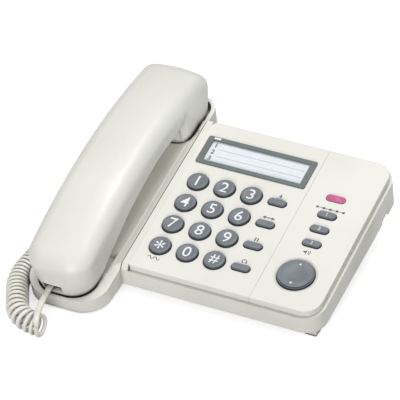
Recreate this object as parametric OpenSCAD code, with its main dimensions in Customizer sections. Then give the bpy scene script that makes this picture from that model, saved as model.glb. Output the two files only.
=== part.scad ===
// Corded desk telephone: a sloping keypad body with a long cradle on its left, a lift-off handset and a curly cord.
// The body and the handset are laid out in the panel's own axes: x to the right, y up the slope, z out of the
// panel. on_slope() then tilts that layout and stands it on the table. All sizes are in millimetres and degrees.

/* [Stance] */
// Slope of the keypad panel
panel_slope = 14; // [13:0.5:14.5]
// Height of the panel's middle above the table
panel_height = 36; // [36:0.5:42]

/* [Body] */
// Keypad body, from the middle key column to its right wall
body_right = 98.7; // [97:0.1:104]
// Keypad body, from the middle key column to the cradle
body_left = 37.3; // [37:0.1:42]
// Keypad body, from the middle of the key rows to its front wall
body_front = 52; // [51:0.5:58]
// Keypad body, from the middle of the key rows to its back wall
body_back = 85.8; // [85:0.1:92]
// Drop from the panel's face to the shoulder around it
shoulder_drop = 5; // [5:0.1:5.6]
// Width of the shoulder around the panel
shoulder_w = 2; // [1.6:0.1:3]
// Wall thickness of the case
case_wall = 2.2; // [1.8:0.1:2.6]
// Depth of the underside below the panel's middle
underside_depth = 21.4; // [21.4:0.1:24]
// Angle between the underside and the panel
underside_angle = 3.3; // [3:0.1:4]
// Corner radius of the keypad body
body_corner = 14; // [10:0.5:16]

/* [Cradle] */
// Half width of the cradle
cradle_half_w = 27.2; // [27:0.1:31]
// Cradle, from the middle of the key rows to its front end
cradle_front = 86.8; // [86.6:0.1:90]
// Cradle, from the middle of the key rows to its back end
cradle_back = 106.8; // [106.6:0.1:112]
// Corner radius at the cradle's front
cradle_front_corner = 18; // [14:0.5:20]
// Corner radius at the cradle's back
cradle_back_corner = 12; // [9:0.5:14]
// Drop from the panel's face to the cradle's rim
rim_drop = 4; // [3.6:0.1:4.4]
// Gap between the handset's cups and the wells
well_gap = 1.5; // [1:0.1:1.6]

/* [Handset] */
// Half width of the handset at its ear end
ear_half_w = 23.3; // [21:0.1:23.5]
// Half width of the handset at its mouth end
mouth_half_w = 23; // [21:0.1:23.5]
// Height of the handset's back above the panel's face, at its crown
handset_crown = 39; // [36:0.1:42]
// Radius of the arch of the handset's back
handset_arch = 350; // [300:5:500]
// Depth of the two cups below the panel's face
cup_drop = 8; // [7.6:0.1:8.2]
// Handset, from the middle of the key rows to its mouth end
mouth_end = 83.8; // [82:0.1:84.4]
// Handset, from the middle of the key rows to its ear end
ear_end = 103.2; // [101:0.1:103.6]
// Shell thickness of the handset
handset_wall = 2.2; // [1.8:0.1:2.6]

/* [Keys] */
// Spacing of the key columns
column_pitch = 19; // [18.4:0.1:19.4]
// Spacing of the key rows
row_pitch = 19.6; // [18.4:0.1:20]
// Radius of a dial key
dial_key_r = 7.1; // [6.4:0.1:7.2]
// Height of a dial key above the panel
dial_key_h = 2.2; // [1.6:0.1:3.6]
// Length of a pill key
pill_w = 12.6; // [11:0.1:13]
// Width of a pill key
pill_h = 5.6; // [4.6:0.1:6]
// Height of a pill key above the panel
pill_key_h = 1.5; // [1.4:0.1:2.6]
// Travel of a key
key_travel = 1.2; // [0.6:0.1:1.3]
// Gap between a key and its hole
key_gap = 0.45; // [0.3:0.05:0.5]
// Radius of the volume key
volume_r = 12.1; // [11:0.1:12.2]
// Height of the volume key above the panel
volume_h = 1.2; // [1:0.1:1.6]

/* [Card] */
// Width of the card frame
card_frame_w = 77.6; // [74:0.1:78]
// Height of the card frame
card_frame_h = 24.6; // [22:0.1:25]
// Side bar of the card frame
card_side_bar = 4.2; // [4:0.1:7]
// Top and bottom bar of the card frame
card_long_bar = 3.2; // [2.2:0.1:3.5]

/* [Cord] */
// Diameter of the curly cord's wire
wire_d = 2.8; // [2.4:0.1:2.8]
// Radius of the curls, to the middle of the wire
curl_r = 6.2; // [5.6:0.1:6.2]
// Width of the flat leads at the cord's ends
lead_w = 4; // [3.6:0.1:4.4]
// Thickness of the flat leads
lead_t = 2.4; // [2.2:0.1:2.6]

/* [Hidden] */
$fn = 48;

// Colours
cream = [0.93, 0.93, 0.90];
cord_cream = [0.88, 0.88, 0.84];
key_grey = [0.50, 0.53, 0.55];
frame_grey = [0.42, 0.45, 0.45];
board_green = [0.16, 0.42, 0.25];
mat_grey = [0.80, 0.80, 0.78];
metal = [0.72, 0.73, 0.75];
black = [0.08, 0.08, 0.08];

// Clearances between pieces
fit_gap = 0.3;       // between two pieces that drop into each other, or that move past each other
seam_gap = 0.15;     // between two panels or shells that meet at a seam
rest_gap = 0.05;     // between two pieces that lie on each other
screw_gap = 0.1;     // between a screw and its hole
pin_gap = 0.05;      // between a pivot pin and its bore
cut = 1;             // how far a cutting tool runs past a face

// Where the pieces stand
cradle_right = -body_left;
cradle_x = cradle_right - cradle_half_w;
cradle_left = cradle_x - cradle_half_w;
handset_x = cradle_x - 0.5;
front_lean = 0.2;    // how far the handset's mouth end leans out, per millimetre of height
back_lean = 0.32;    // and its ear end
lean_top = 12;       // height where that lean ends

// The underside bends up ahead of the keypad body, so that the cradle's front end clears the table
nose_rise = 0.113;   // slope of the underside ahead of the bend
bend_y = -body_front;
function under_z(y) = -underside_depth - max(y, bend_y) * tan(underside_angle) + max(bend_y - y, 0) * nose_rise;

// The row frame's origin is under the middle of the case and handset
front_y = -(mouth_end + front_lean * (lean_top + 4)) * cos(panel_slope) - lean_top * sin(panel_slope);
back_y = cradle_back * cos(panel_slope) - under_z(cradle_back) * sin(panel_slope);
mid_x = (body_right + cradle_left) / 2;
mid_y = (front_y + back_y) / 2;

// A place on the panel's layout, in the row frame
function on_row(p) = [
  p[0] - mid_x,
  p[1] * cos(panel_slope) - p[2] * sin(panel_slope) - mid_y,
  p[1] * sin(panel_slope) + p[2] * cos(panel_slope) + panel_height,
];

module on_slope() {
  translate([-mid_x, -mid_y, panel_height]) rotate([panel_slope, 0, 0]) children();
}

// A rectangle with a radius of its own at each corner: front left, front right, back right, back left
module round_rect(x0, x1, y0, y1, r) {
  difference() {
    translate([x0, y0]) square([x1 - x0, y1 - y0]);
    corner_cut(x0, y0, 0, r[0]);
    corner_cut(x1, y0, 90, r[1]);
    corner_cut(x1, y1, 180, r[2]);
    corner_cut(x0, y1, 270, r[3]);
  }
}

module corner_cut(x, y, turn, r) {
  if (r > 0)
    translate([x, y]) rotate(turn) difference() {
      translate([-cut, -cut]) square(r + cut);
      translate([r, r]) circle(r);
    }
}

// A bar with round ends, lying along x
module pill(w, h) {
  square([w - h, h], center = true);
  translate([(w - h) / 2, 0]) circle(h / 2);
  translate([-(w - h) / 2, 0]) circle(h / 2);
}

module slab(z0, z1) {
  translate([0, 0, z0]) linear_extrude(z1 - z0) children();
}

module block(x0, x1, y0, y1, z0, z1) {
  translate([x0, y0, z0]) cube([x1 - x0, y1 - y0, z1 - z0]);
}

module post(x, y, z0, z1, r) {
  translate([x, y, z0]) cylinder(h = z1 - z0, r = r);
}

// A shape drawn in panel y and z, run across from x0 to x1
module across(x0, x1) {
  translate([x0, 0, 0]) rotate([90, 0, 90]) linear_extrude(x1 - x0) children();
}

// ---------------------------------------------------------------------------------------------------------------
// The case: upper case with the cradle, lower case, desk stand, feet and screws
// ---------------------------------------------------------------------------------------------------------------
deep = -60;                            // well below everything, where cutting tools start
well_floor = -(cup_drop + 1.9);
liner_t = 1.8;
cradle_roof = well_floor - liner_t;    // top of the hollow under the cradle
deck_t = 2.2;
deck_under = -shoulder_drop - deck_t;
plate_t = 2;                           // thickness of the lower case
strip_left = cradle_right + 0.6;       // raised strip between the cradle and the keypad panel
strip_right = -32.2;
strip_top = -0.7;
window_x = [-25, 88];
window_y = [-42, 74];
panel_front = -body_front + shoulder_w;
panel_back = body_back - shoulder_w;
panel_right = body_right - shoulder_w;
panel_left = -32;
mouth_well_w = mouth_half_w - 4 + well_gap;
ear_well_w = ear_half_w + well_gap;
ear_well_front = 63;
hook_y = 73;                           // the cradle hook
hook_w = 10;
hook_l = 8;
line_jack_x = 60;
line_jack_z = -16.4;
base_jack_y = 63;
base_jack_z = -16.6;
line_jack_w = 14;
line_jack_h = 10.4;
base_jack_w = 11.4;
base_jack_h = 9.6;
board_screw_at = [[-29, -44.6], [89, -43.6], [-29, 77.6], [89, 76.6]];
case_screw_at = [[-30, -30], [80, -46], [-82, 40], [-48, -44], [18, 80], [-48, 97]];
ringer_x = 30;
ringer_y = 26;
ringer_z = -19.2;

module body_plan(inset, left = cradle_right - 20) {
  round_rect(left, body_right - inset, -body_front + inset, body_back - inset,
             [0, body_corner - inset, body_corner - inset, 0]);
}

module cradle_plan(inset) {
  front_r = cradle_front_corner - inset;
  back_r = cradle_back_corner - inset;
  round_rect(cradle_left + inset, cradle_right - inset, -cradle_front + inset, cradle_back - inset,
             [front_r, front_r, back_r, back_r]);
}

// Everything under the case, drawn in y and z: raise lifts its top
module below(raise) {
  polygon([
    [-120, deep - 30], [-120, under_z(-120) + raise], [bend_y, under_z(bend_y) + raise],
    [140, under_z(140) + raise], [140, deep - 30],
  ]);
}

// The wells that take the handset's two cups, with the trough between them
module wells() {
  slab(well_floor, cut)
    round_rect(handset_x - mouth_well_w, handset_x + mouth_well_w, -(mouth_end + well_gap), -40, [16, 16, 0, 0]);
  slab(well_floor, cut)
    round_rect(handset_x - ear_well_w, handset_x + ear_well_w, ear_well_front, ear_end + well_gap, [9, 9, 10, 10]);
  translate([handset_x, -58, 42]) rotate([-90, 0, 0]) cylinder(h = 132, r = 51, $fn = 180);
}

// The underside of the top over a screw: the cradle's is lower than the keypad body's
function roof_over(p) = p[0] < cradle_right ? cradle_roof : deck_under;

module screw_boss(p) {
  post(p[0], p[1], under_z(p[1]) + plate_t + 0.4, roof_over(p) + 0.5, 3.4);
}

// A ridge beside the keypad panel: its top from x0 to x1, its foot from foot_x, its front end running down to the wall
module ridge(x0, x1, foot_x, top) {
  hull() {
    slab(-shoulder_drop - 1, top) translate([x0, panel_front + 1]) square([x1 - x0, panel_back - panel_front - 1]);
    slab(-shoulder_drop - 1, -shoulder_drop + 1)
      translate([foot_x, -body_front]) square([x1 - foot_x, panel_back + body_front]);
  }
}

module upper_case() {
  on_slope() color(cream) difference() {
    union() {
      difference() {
        union() {
          slab(deep, -shoulder_drop) body_plan(0);
          slab(deep, -rim_drop) cradle_plan(0);
          ridge(strip_left, strip_right, strip_left, strip_top);
          ridge(cradle_right - 1, cradle_right, cradle_right - 5, strip_top - 0.2);
        }
        slab(deep - cut, deck_under) body_plan(case_wall, cradle_right + 2);
        slab(deep - cut, cradle_roof) {
          body_plan(case_wall);
          cradle_plan(case_wall);
        }
        wells();
        block(cradle_right, strip_left, -body_front - cut, panel_back, -shoulder_drop + 2.4, cut);
        slab(deep, 0) round_rect(window_x[0], window_x[1], window_y[0], window_y[1], [2, 2, 2, 2]);
      }
      for (p = case_screw_at) screw_boss(p);
      for (p = board_screw_at) post(p[0], p[1], deck_under - 0.4, deck_under + 0.5, 2.6);
      // rests under the two cups
      for (side = [-1, 1]) {
        block(handset_x + side * 12 - 2, handset_x + side * 12 + 2, reach(-74), reach(-66), well_floor - 0.5, -cup_drop - fit_gap);
        block(handset_x + side * 12 - 2, handset_x + side * 12 + 2, reach(88), reach(96), well_floor - 0.5, -cup_drop - fit_gap);
      }
    }
    across(cradle_left - cut, body_right + cut) below(0);
    for (p = case_screw_at) post(p[0], p[1], deep, roof_over(p) - 1, 1.4 + screw_gap);
    for (p = board_screw_at) post(p[0], p[1], deep, -shoulder_drop - 0.4, 1.1 + screw_gap);
    // cradle hook, cord jack, line jack, and the cable notch in the right wall
    block(handset_x - hook_w / 2 - fit_gap, handset_x + hook_w / 2 + fit_gap,
          hook_y - hook_l / 2 - fit_gap, hook_y + hook_l / 2 + fit_gap, cradle_roof - cut, cut);
    block(cradle_left - cut, cradle_left + case_wall + cut,
          base_jack_y - base_jack_w / 2 - fit_gap, base_jack_y + base_jack_w / 2 + fit_gap,
          base_jack_z - base_jack_h / 2 - fit_gap, base_jack_z + base_jack_h / 2 + fit_gap);
    block(line_jack_x - line_jack_w / 2 - fit_gap, line_jack_x + line_jack_w / 2 + fit_gap,
          body_back - case_wall - cut, body_back + cut,
          line_jack_z - line_jack_h / 2 - fit_gap, line_jack_z + line_jack_h / 2 + fit_gap);
    block(body_right - case_wall - cut, body_right + cut, 54, 64, deep, under_z(54) + 2.4);
  }
}

// The two front feet are columns, upright on the table
foot_t = 1.2;
right_foot = [90, -41];
left_foot = [cradle_x, -70];
foot_w = 8;

module foot_column(p, z0, z1) {
  x = p[0] - mid_x;
  y = p[1] * cos(panel_slope) - under_z(p[1]) * sin(panel_slope) - mid_y;
  translate([x - foot_w / 2, y - foot_w / 2, z0]) cube([foot_w, foot_w, z1 - z0]);
}

module lower_plan(inset) {
  body_plan(case_wall + seam_gap + inset);
  cradle_plan(case_wall + seam_gap + inset);
}

module lower_case() {
  color(cream) union() {
    on_slope() difference() {
      union() {
        intersection() {
          slab(deep, 0) lower_plan(0);
          across(cradle_left, body_right) difference() {
            below(plate_t);
            below(0);
          }
        }
        // ring around the ringer speaker, and the spigot of the hook's spring
        difference() {
          post(ringer_x, ringer_y, under_z(ringer_y) + 0.5, ringer_z + 2.4, 22.2);
          post(ringer_x, ringer_y, deep, 0, 20.4);
        }
        post(handset_x, hook_y, under_z(hook_y) + 0.5, under_z(hook_y) + plate_t + 1.6, 1.8);
      }
      for (p = case_screw_at) {
        post(p[0], p[1], deep, 0, 1.4 + screw_gap);
        post(p[0], p[1], deep, under_z(p[1]) + 1, 2.8 + screw_gap);
      }
      for (i = [-3:3])
        block(ringer_x - 12, ringer_x + 12, ringer_y + i * 4.4 - 0.8, ringer_y + i * 4.4 + 0.8, deep, 0);
      across(cradle_left, body_right) below(0);
    }
    for (p = [right_foot, left_foot]) intersection() {
      foot_column(p, foot_t, 30);
      on_slope() across(cradle_left, body_right) difference() {
        below(0.5);
        translate([0, -30]) below(0);
      }
    }
  }
}

stand_y = [40, 88];                    // the desk stand, along the table from the middle of the key rows
stand_x = [-75, 80];
stand_wall = 2.4;

module stand_box(inset, z0, z1) {
  translate([-mid_x, -mid_y, z0]) linear_extrude(z1 - z0)
    round_rect(stand_x[0] + inset, stand_x[1] - inset, stand_y[0] + inset, stand_y[1] - inset, [6, 6, 6, 6]);
}

module desk_stand() {
  color(cream) intersection() {
    difference() {
      stand_box(0, foot_t, 60);
      difference() {
        stand_box(stand_wall, 0, 60);
        on_slope() across(-120, 120) difference() {
          below(-rest_gap);
          below(-rest_gap - stand_wall);
        }
      }
    }
    on_slope() across(-120, 120) below(-rest_gap);
  }
}

module rubber_feet() {
  color(black) {
    for (p = [right_foot, left_foot]) foot_column(p, 0, foot_t);
    for (x = [stand_x[0] + 8, stand_x[1] - 8], y = [stand_y[0] + 9, stand_y[1] - 9])
      translate([x - mid_x, y - mid_y, 0]) cylinder(h = foot_t, r = 5.5);
  }
}

module case_screws() {
  on_slope() color(metal) for (p = case_screw_at) {
    seat = under_z(p[1]) + 1 - rest_gap;
    post(p[0], p[1], seat - 0.8, seat, 2.8);
    post(p[0], p[1], seat - 0.5, min(seat + 9, roof_over(p) - 1.4), 1.4);
  }
}

// ---------------------------------------------------------------------------------------------------------------
// The two panels on top, the name card and its frame
// ---------------------------------------------------------------------------------------------------------------
seam_x = 51.8;                         // seam between the keypad panel and the side panel
skirt_t = 1.8;
panel_t = 2;
dial_at = [for (row = [0:3], col = [-1:1]) [col * column_pitch, (1.5 - row) * row_pitch]];
function_x = 37.1;
one_touch_at = [[71.8, 29.4], [71.8, 16.7], [71.8, 4]];
volume_at = [72.2, -23.1];
lamp_at = [71.7, 44.6];
lamp_w = 13.5;
lamp_h = 5.6;
card_x = [10 - card_frame_w / 2, 10 + card_frame_w / 2];
card_y = [58.3 - card_frame_h / 2, 58.3 + card_frame_h / 2];
card_rim = 2;                          // how far the card's recess stays inside the frame
recess_depth = 1;
pivot_z = -3.5;                        // the volume key's pivots
pivot_r = 1;
pivot_reach = volume_r + 3.4;

module panel_shell(x0, x1, r) {
  difference() {
    slab(-shoulder_drop + rest_gap, 0) round_rect(x0, x1, panel_front, panel_back, r);
    slab(-shoulder_drop - cut, -panel_t)
      round_rect(x0 + skirt_t, x1 - skirt_t, panel_front + skirt_t, panel_back - skirt_t,
                 [for (c = r) max(c - skirt_t, 0)]);
  }
}

module keypad_panel() {
  on_slope() color(cream) difference() {
    panel_shell(panel_left, seam_x - seam_gap / 2, [1.5, 0, 0, 5]);
    for (p = dial_at) post(p[0], p[1], -panel_t - cut, cut, dial_key_r + key_gap);
    for (row = [0:3]) translate([function_x, (1.5 - row) * row_pitch, 0])
      slab(-panel_t - cut, cut) pill(pill_w + 2 * key_gap, pill_h + 2 * key_gap);
    block(card_x[0] + card_rim, card_x[1] - card_rim, card_y[0] + card_rim, card_y[1] - card_rim,
          -recess_depth, cut);
  }
}

module side_panel() {
  on_slope() color(cream) union() {
    difference() {
      panel_shell(seam_x + seam_gap / 2, panel_right, [0, body_corner - shoulder_w, body_corner - shoulder_w, 0]);
      for (p = one_touch_at) translate([p[0], p[1], 0])
        slab(-panel_t - cut, cut) pill(pill_w + 2 * key_gap, pill_h + 2 * key_gap);
      post(volume_at[0], volume_at[1], -panel_t - cut, cut, volume_r + 0.5);
      translate([lamp_at[0], lamp_at[1], 0]) slab(-panel_t - cut, cut)
        pill(lamp_w + 2 * seam_gap, lamp_h + 2 * seam_gap);
    }
    // ears that carry the volume key's pivots
    for (side = [-1, 1]) translate([volume_at[0] + side * (volume_r + 2.2), volume_at[1], 0]) difference() {
      block(-1, 1, -2.4, 2.4, pivot_z - 2.2, -panel_t + 0.2);
      translate([-2, 0, pivot_z]) rotate([0, 90, 0]) cylinder(h = 4, r = pivot_r + pin_gap);
    }
  }
}

module card_frame() {
  on_slope() color(frame_grey) slab(rest_gap, 0.8) difference() {
    round_rect(card_x[0], card_x[1], card_y[0], card_y[1], [1.5, 1.5, 1.5, 1.5]);
    round_rect(card_x[0] + card_side_bar, card_x[1] - card_side_bar, card_y[0] + card_long_bar,
               card_y[1] - card_long_bar, [0.5, 0.5, 0.5, 0.5]);
  }
}

module card_sheet(z0, z1) {
  inset = card_rim + fit_gap;
  slab(z0, z1) round_rect(card_x[0] + inset, card_x[1] - inset, card_y[0] + inset, card_y[1] - inset, [1, 1, 1, 1]);
}

module memo_card() {
  on_slope() color("white") card_sheet(-recess_depth + rest_gap, -0.65);
}

module card_cover() {
  on_slope() color([0.85, 0.9, 0.95, 0.4]) card_sheet(-0.6, -rest_gap);
}

// ---------------------------------------------------------------------------------------------------------------
// Keys, lamp and mats
// ---------------------------------------------------------------------------------------------------------------
flange_top = -panel_t - fit_gap;
flange_t = 1;
key_foot = flange_top - flange_t;

module dial_key(p) {
  on_slope() color(key_grey) translate([p[0], p[1], 0]) rotate_extrude() polygon([
    [0, key_foot], [dial_key_r + 1.4, key_foot], [dial_key_r + 1.4, flange_top], [dial_key_r, flange_top],
    [dial_key_r, dial_key_h - 0.9], [dial_key_r - 0.5, dial_key_h - 0.2], [dial_key_r - 1, dial_key_h],
    [dial_key_r - 1.8, dial_key_h], [0, dial_key_h - 0.4],
  ]);
}

module key_1() { dial_key(dial_at[0]); }
module key_2() { dial_key(dial_at[1]); }
module key_3() { dial_key(dial_at[2]); }
module key_4() { dial_key(dial_at[3]); }
module key_5() { dial_key(dial_at[4]); }
module key_6() { dial_key(dial_at[5]); }
module key_7() { dial_key(dial_at[6]); }
module key_8() { dial_key(dial_at[7]); }
module key_9() { dial_key(dial_at[8]); }
module key_star() { dial_key(dial_at[9]); }
module key_0() { dial_key(dial_at[10]); }
module key_hash() { dial_key(dial_at[11]); }

module pill_key(p) {
  on_slope() color(key_grey) translate([p[0], p[1], 0]) {
    slab(key_foot, flange_top) pill(pill_w + 2.4, pill_h + 2.4);
    slab(flange_top - 0.1, pill_key_h - 0.5) pill(pill_w, pill_h);
    slab(pill_key_h - 0.6, pill_key_h) pill(pill_w - 0.8, pill_h - 0.8);
  }
}

module function_key(row) { pill_key([function_x, (1.5 - row) * row_pitch]); }
module function_key_1() { function_key(0); }
module function_key_2() { function_key(1); }
module function_key_3() { function_key(2); }
module function_key_4() { function_key(3); }
module one_touch_key_1() { pill_key(one_touch_at[0]); }
module one_touch_key_2() { pill_key(one_touch_at[1]); }
module one_touch_key_3() { pill_key(one_touch_at[2]); }

module volume_key() {
  on_slope() color(key_grey) translate([volume_at[0], volume_at[1], 0]) {
    difference() {
      union() {
        post(0, 0, pivot_z - 0.3, volume_h - 0.8, volume_r);
        post(0, 0, volume_h - 0.9, volume_h, volume_r - 0.7);
      }
      translate([0, 0, volume_h + 59.4]) sphere(r = 60, $fn = 120);
    }
    translate([-pivot_reach, 0, pivot_z]) rotate([0, 90, 0]) cylinder(h = 2 * pivot_reach, r = pivot_r);
    for (side = [-1, 1]) post(0, side * 7.5, pivot_z - 0.3, 0, 1.6);
  }
}

module lamp_lens() {
  on_slope() color([0.85, 0.25, 0.55]) translate([lamp_at[0], lamp_at[1], 0]) {
    slab(-panel_t - 1, -panel_t - rest_gap) pill(lamp_w + 2, lamp_h + 2);
    slab(-panel_t - 0.2, 0.6) pill(lamp_w, lamp_h);
    slab(0.5, 1.2) pill(lamp_w - 1, lamp_h - 1);
  }
}

mat_under = -7.6;
mat_top = -6.6;
dome_top = key_foot - key_travel - 0.3;

module lamp_led() {
  on_slope() color([1, 0.6, 0.7]) {
    post(lamp_at[0], lamp_at[1], mat_under + rest_gap, -4.6, 1.5);
    translate([lamp_at[0], lamp_at[1], -4.6]) sphere(r = 1.45);
  }
}

module dome(x, y, r) {
  translate([x, y, mat_top - 0.1]) cylinder(h = dome_top - mat_top + 0.1, r1 = r, r2 = r - 0.8);
}

module key_mat() {
  on_slope() color(mat_grey) {
    slab(mat_under + rest_gap, mat_top) round_rect(window_x[0] + 0.6, 47, -39, 39, [2, 2, 2, 2]);
    for (p = dial_at) dome(p[0], p[1], 5);
    for (row = [0:3]) dome(function_x, (1.5 - row) * row_pitch, 2.8);
  }
}

module side_key_mat() {
  on_slope() color(mat_grey) {
    slab(mat_under + rest_gap, mat_top) round_rect(seam_x + 6.2, body_right - 13.7, -35, 36, [2, 2, 2, 2]);
    for (p = one_touch_at) dome(p[0], p[1], 2.8);
    for (side = [-1, 1]) dome(volume_at[0], volume_at[1] + side * 7.5, 2.6);
  }
}

// ---------------------------------------------------------------------------------------------------------------
// Inside the case: board, ringer, jacks and the cradle hook
// ---------------------------------------------------------------------------------------------------------------
board_t = 1.6;
board_under = mat_under - board_t;

module main_board() {
  on_slope() color(board_green) difference() {
    slab(board_under, mat_under)
      round_rect(panel_left - 1.5, body_right - 4.7, 4 - body_front, body_back - 4.8, [2, 12, 12, 2]);
    for (p = board_screw_at) post(p[0], p[1], -20, 0, 1.1 + screw_gap);
    for (p = case_screw_at) post(p[0], p[1], -20, 0, 3.4 + fit_gap);
  }
}

module board_parts() {
  on_slope() color([0.2, 0.2, 0.22]) {
    block(0, 18, -6, 6, board_under - 2, board_under - rest_gap);
    block(-16, -6, -34, -22, board_under - 1.6, board_under - rest_gap);
    block(60, 74, -34, -20, board_under - 7, board_under - rest_gap);
    block(66, 72, 50, 66, board_under - 1.5, board_under - rest_gap);
    post(-12, 44, board_under - 9, board_under - rest_gap, 4);
    post(-12, 60, board_under - 9, board_under - rest_gap, 4);
    post(44, -30, board_under - 6, board_under - rest_gap, 3);
  }
}

module board_screws() {
  on_slope() color(metal) for (p = board_screw_at) {
    post(p[0], p[1], board_under - 1.2, board_under - rest_gap, 2.2);
    post(p[0], p[1], board_under - 0.6, -shoulder_drop - 0.7, 1.1);
  }
}

module ringer_speaker() {
  on_slope() color([0.25, 0.25, 0.27]) translate([ringer_x, ringer_y, ringer_z]) rotate_extrude() polygon([
    [0, 1.2], [13, 0.4], [17.5, 0.4], [17.5, 0], [20, 0], [20, 1.2], [11, 5], [11, 7.8], [0, 7.8],
  ]);
}

// A modular socket: the opening faces +x, with its mouth at x = 0 and the latch slot below
module socket(w, h, depth, hole_w, hole_h, hole_depth) {
  difference() {
    translate([-depth, -w / 2, -h / 2]) cube([depth, w, h]);
    translate([-hole_depth, -hole_w / 2, -hole_h / 2 + 0.6]) cube([hole_depth + cut, hole_w, hole_h]);
    translate([-hole_depth + 2, -2, -h / 2 + 1]) cube([hole_depth, 4, 3]);
  }
}

plug_w = 7.6;
plug_h = 5.6;
plug_l = 11;

module line_jack() {
  on_slope() color(frame_grey) translate([line_jack_x, body_back - 0.2, line_jack_z]) rotate([0, 0, 90])
    socket(line_jack_w, line_jack_h, 17, 9.8, 6.8, 13);
}

module base_jack() {
  on_slope() color(frame_grey) translate([cradle_left + 0.2, base_jack_y, base_jack_z]) rotate([0, 0, 180])
    socket(base_jack_w, base_jack_h, 15, plug_w + 2 * seam_gap, plug_h + 2 * seam_gap, plug_l + 0.6);
}

// A modular plug lying along x: its nose points to -x, the cord leaves at x = 0
module modular_plug() {
  difference() {
    translate([-plug_l, -plug_w / 2, -plug_h / 2]) cube([plug_l, plug_w, plug_h]);
    for (i = [-1.5, -0.5, 0.5, 1.5])
      translate([-plug_l - cut, i * 1.3 - 0.3, plug_h / 2 - 1]) cube([4, 0.6, 2]);
  }
  translate([-plug_l + 2.5, -1.5, -plug_h / 2 - 0.8]) cube([8.5, 3, 1]);
}

base_plug_out = 1.5;

module base_plug() {
  on_slope() color([0.85, 0.85, 0.83]) translate([cradle_left + 0.2 - base_plug_out, base_jack_y, base_jack_z + 0.6])
    rotate([0, 0, 180]) modular_plug();
}

// The hook's plunger is drawn pushed down, as the resting handset holds it
hook_top = -cup_drop - fit_gap;
hook_travel = 4;
hook_flange = cradle_roof - hook_travel - fit_gap;
hook_under = hook_flange - 1.4;

module hook_plunger() {
  on_slope() color(cream) {
    block(handset_x - hook_w / 2, handset_x + hook_w / 2, hook_y - hook_l / 2, hook_y + hook_l / 2, hook_flange - 0.2,
          hook_top);
    block(handset_x - 7, handset_x + 13, hook_y - 5.5, hook_y + 5.5, hook_under, hook_flange);
  }
}

module hook_switch() {
  on_slope() color(black) {
    block(handset_x + 6.6, handset_x + 18, hook_y - 3, hook_y + 3, under_z(hook_y + 3) + plate_t + 0.4, hook_under - 1.6);
    post(handset_x + 10, hook_y, hook_under - 1.8, hook_under - fit_gap, 1.2);
  }
}

// ---------------------------------------------------------------------------------------------------------------
// Tubes: a closed skin over rings of n points, with a flat cap at each end
// ---------------------------------------------------------------------------------------------------------------
function side_faces(rings, n) = [
  for (i = [0:rings - 2], j = [0:n - 1])
    let (k = (j + 1) % n, a = i * n, b = (i + 1) * n)
      each [[a + j, b + j, b + k], [a + j, b + k, a + k]]
];
function cap_faces(rings, n) = [
  [for (j = [0:n - 1]) j],
  [for (j = [n - 1:-1:0]) (rings - 1) * n + j],
];
function unit(v) = v / norm(v);

// Rings across a path: side gives the direction of each ring's width, d its width and thickness
function tube_ring(p, along, side, d, n) =
  let (u = unit(side - along * (side * along)), w = cross(along, u))
    [for (j = [0:n - 1]) p + u * cos(360 * (j + 0.5) / n) * d[0] / 2 + w * sin(360 * (j + 0.5) / n) * d[1] / 2];

module skin(rings) {
  n = len(rings[0]);
  polyhedron(points = [for (r = rings) each r], faces = concat(side_faces(len(rings), n), cap_faces(len(rings), n)),
             convexity = 10);
}

spring_r = 3.2;
spring_wire = 0.7;
spring_turns = 4;
spring_low = under_z(hook_y) + plate_t + spring_wire / 2 + 0.1;
spring_high = hook_under - spring_wire / 2 - 0.1;

module hook_spring() {
  steps = spring_turns * 12;
  path = [for (i = [0:steps]) let (a = 30 * i)
    [handset_x + spring_r * cos(a), hook_y + spring_r * sin(a), spring_low + (spring_high - spring_low) * i / steps]];
  on_slope() color(metal) skin([for (i = [0:steps]) let (a = 30 * i)
    tube_ring(path[i], unit([-sin(a), cos(a), 0.07]), [cos(a), sin(a), 0], [spring_wire, spring_wire], 6)]);
}

// ---------------------------------------------------------------------------------------------------------------
// The handset
// ---------------------------------------------------------------------------------------------------------------
// The lower edge of one side of the handset, from the mouth cup to the ear cup: y, and z there
// The table is drawn for a mouth end at 83.8 and an ear end at 103.2, and is stretched to the ends that are set
function reach(y) = y < 0 ? y * mouth_end / 83.8 : y * ear_end / 103.2;
side_edge = [for (p = [
  [-62, -8], [-58, 0], [-52, 6], [-46, 9.6], [-39, 12.6], [-31, 15.2], [-22, 17.2], [-10, 18.8], [4, 20.2],
  [18, 21], [32, 20.2], [44, 18.4], [51, 17.2], [56, 16], [60, 14], [62.6, 10.6], [63.8, 5], [64.2, -8],
  [65.6, -8], [67.4, -8], [70.8, -8],
]) [reach(p[0]), p[1]]];
function edge_z(y) = max(lookup(y, side_edge), -cup_drop);
mouth_corner = 15;                     // plan radius of the mouth end's corners
ear_corner = 11;                       // and of the ear end's
side_roll = 8;                         // radius where the sides turn into the back
mouth_roll = 9;                        // and the two ends
ear_roll = 15;
crown_y = 6;                           // where the back is highest
cross_crown = 3;                       // how much the back is crowned across
mouth_taper = 0.24;                    // how much the mouth cup narrows, per millimetre of depth
spine = [reach(-62), reach(84)];                     // the middle line that the back's rings close on
ear_bulge = 3.4;                       // how far the middle of the ear end stands out
cup_corner = 8;                        // plan radius of the ear cup's front corners, fading out above cup_corner_z
cup_corner_z = [11, 17];
cup_front = reach(64.2);
function corner_in(y, z) =
  let (d = min(max(cup_front + cup_corner - 1.6 - max(y, cup_front), 0), cup_corner))
    (cup_corner - sqrt(pow(cup_corner, 2) - d * d)) * min(max((cup_corner_z[1] - z) / 6, 0), 1);

function back_z(x, y, half) =
  handset_crown - pow(y - crown_y, 2) / 2 / handset_arch - cross_crown * pow(x / half, 2);

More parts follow.
